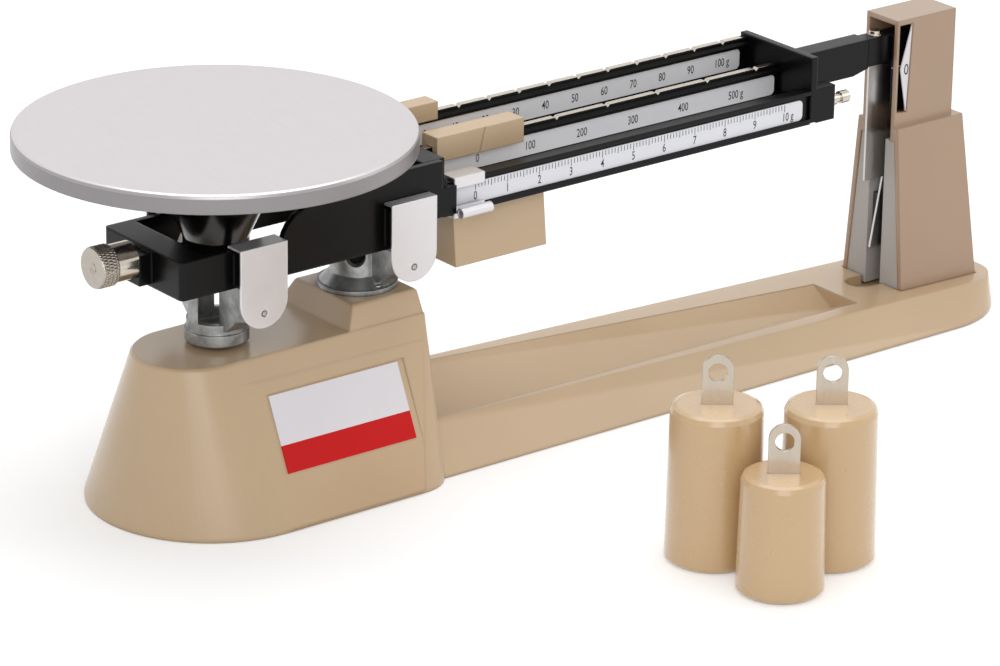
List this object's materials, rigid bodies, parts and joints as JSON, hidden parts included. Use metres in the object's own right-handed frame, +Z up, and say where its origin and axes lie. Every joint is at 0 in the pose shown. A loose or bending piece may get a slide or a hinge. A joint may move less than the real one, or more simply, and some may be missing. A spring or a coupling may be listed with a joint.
{
  "type": "triple beam balance",
  "caption": "Mechanical beam balance with a round steel pan on a cast base, stepped notched beams with sliding poises, a damped pointer in a tower, and loose hanging weights.",
  "frame": {"origin": "on the base's bottom plane, straight under the centre of the pan", "axes": "+X from the pan to the tower along the beams, +Y to the back, +Z up"},
  "size_m": [0.459, 0.2853, 0.1445],
  "materials": {
    "tan_paint": "satin",
    "tower_paint": "satin",
    "weight_paint": "gloss",
    "poise_paint": "satin",
    "black_paint": "satin",
    "chrome": "polished",
    "nickel": "polished",
    "steel": "satin",
    "pan_steel": "satin",
    "zinc": "cast",
    "silver_scale": "satin",
    "vane_alu": "satin",
    "grey_plate": "satin",
    "magnet": "matt",
    "bearing": "gloss",
    "rubber": "matt",
    "plate_grey": "satin",
    "label_white": "gloss",
    "label_red": "gloss"
  },
  "bodies": {
    "base": {"base_casting": "tan_paint", "base_plate": "plate_grey", "base_pads": "rubber", "plate_screws": "steel", "label_plate": "label_white", "label_band": "label_red", "fulcrum_support": "zinc", "support_screws": "steel", "fulcrum_bearings": "bearing", "fulcrum_cover_front": "chrome", "fulcrum_cover_rear": "chrome", "cover_pins": "steel", "link_bracket": "zinc", "tower_housing": "tower_paint", "tower_plate_front": "grey_plate", "tower_plate_rear": "grey_plate", "magnet_front": "magnet", "magnet_rear": "magnet", "dial_plate": "label_white"},
    "beam": {"beam_frame": "black_paint", "beam_rear": "black_paint", "beam_middle": "black_paint", "beam_front": "black_paint", "scale_rear": "silver_scale", "scale_middle": "silver_scale", "scale_front": "silver_scale", "end_plate": "black_paint", "pointer_arm": "black_paint", "index_flag": "black_paint", "damping_vane": "vane_alu", "arm_screw": "nickel", "tare_screw": "nickel", "fulcrum_knife": "steel", "pan_knife": "steel", "zero_stud": "steel"},
    "knob_barrel": {"knob_collar": "nickel"},
    "knob": {"knob_head": "nickel"},
    "pan_support": {"pan_yoke": "zinc", "pan_cone": "black_paint", "pan_bearings": "bearing", "pan_cover_front": "chrome", "pan_cover_rear": "chrome", "yoke_pins": "steel"},
    "link": {"check_link": "steel"},
    "pan": {"pan_plate": "pan_steel"},
    "rear_poise": {"poise_rear": "poise_paint"},
    "middle_poise": {"poise_middle": "poise_paint"},
    "front_poise": {"poise_front": "chrome"},
    "left_weight": {"weight_left": "weight_paint", "strap_left": "nickel"},
    "right_weight": {"weight_right": "weight_paint", "strap_right": "nickel"},
    "small_weight": {"weight_small": "weight_paint", "strap_small": "nickel"}
  },
  "joints": [
    {"name": "beam_tilt", "type": "hinge", "parent": "base", "child": "beam", "pos_m": [0.069, 0, 0.101], "axis": [0, 1, 0], "range_deg": [-0.9, 1.5]},
    {"name": "pan_support_level", "type": "hinge", "parent": "beam", "child": "pan_support", "pos_m": [0, 0, 0.098], "axis": [0, 1, 0], "range_deg": [-1.5, 0.9]},
    {"name": "check_link_swing", "type": "hinge", "parent": "base", "child": "link", "pos_m": [0.069, 0, 0.027], "axis": [0, 1, 0], "range_deg": [-0.9, 1.5]},
    {"name": "pan_lift", "type": "slide", "parent": "pan_support", "child": "pan", "axis": [0, 0, 1], "range_m": [0, 0.1]},
    {"name": "rear_poise_slide", "type": "slide", "parent": "beam", "child": "rear_poise", "axis": [1, 0, 0], "range_m": [0, 0.1486]},
    {"name": "middle_poise_slide", "type": "slide", "parent": "beam", "child": "middle_poise", "axis": [1, 0, 0], "range_m": [0, 0.1275]},
    {"name": "front_poise_slide", "type": "slide", "parent": "beam", "child": "front_poise", "axis": [1, 0, 0], "range_m": [0, 0.1555]},
    {"name": "zero_knob_travel", "type": "slide", "parent": "beam", "child": "knob_barrel", "axis": [1, 0, 0], "range_m": [-0.0032, 0]},
    {"name": "zero_knob_turn", "type": "hinge", "parent": "knob_barrel", "child": "knob", "pos_m": [-0.033, 0, 0.1014], "axis": [1, 0, 0], "range_deg": [-1440, 0]},
    {"name": "left_weight_lift", "type": "slide", "parent": "base", "child": "left_weight", "axis": [0, 0, 1], "range_m": [0, 0.15]},
    {"name": "right_weight_lift", "type": "slide", "parent": "base", "child": "right_weight", "axis": [0, 0, 1], "range_m": [0, 0.15]},
    {"name": "small_weight_lift", "type": "slide", "parent": "base", "child": "small_weight", "axis": [0, 0, 1], "range_m": [0, 0.15]}
  ],
  "couplings": [
    {"joint": "pan_support_level", "follows": "beam_tilt", "ratio": -1},
    {"joint": "check_link_swing", "follows": "beam_tilt", "ratio": 1},
    {"joint": "zero_knob_turn", "follows": "zero_knob_travel", "rad_per_m": 7854}
  ]
}
